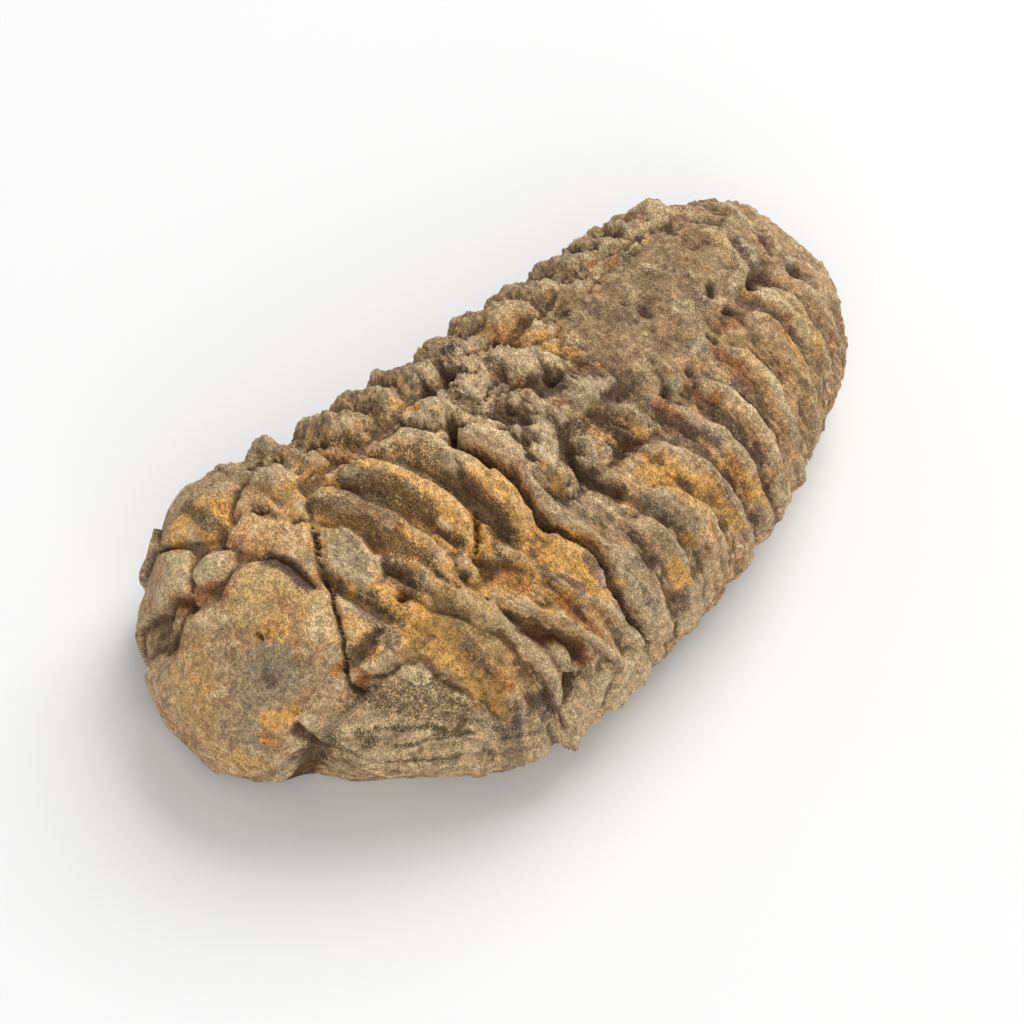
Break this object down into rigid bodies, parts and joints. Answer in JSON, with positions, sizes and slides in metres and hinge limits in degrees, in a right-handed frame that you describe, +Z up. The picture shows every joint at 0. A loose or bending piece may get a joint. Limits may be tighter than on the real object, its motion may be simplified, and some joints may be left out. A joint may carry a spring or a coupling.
{
  "type": "trilobite fossil",
  "caption": "Arched oval trilobite fossil in stone with a domed head, ribbed body, rounded tail and flat belly to rest on.",
  "frame": {"origin": "centre of the bounding box's base, on the surface the fossil lies on", "axes": "+Y from head to tail, +Z up out of the back, +X towards the animal's left flank"},
  "size_m": [0.0526, 0.1004, 0.0295],
  "materials": {
    "stone": "matt granular limestone, tan with ochre, rust and dark grey stains"
  },
  "bodies": {
    "root": {"trilobite": "stone"}
  },
  "joints": []
}
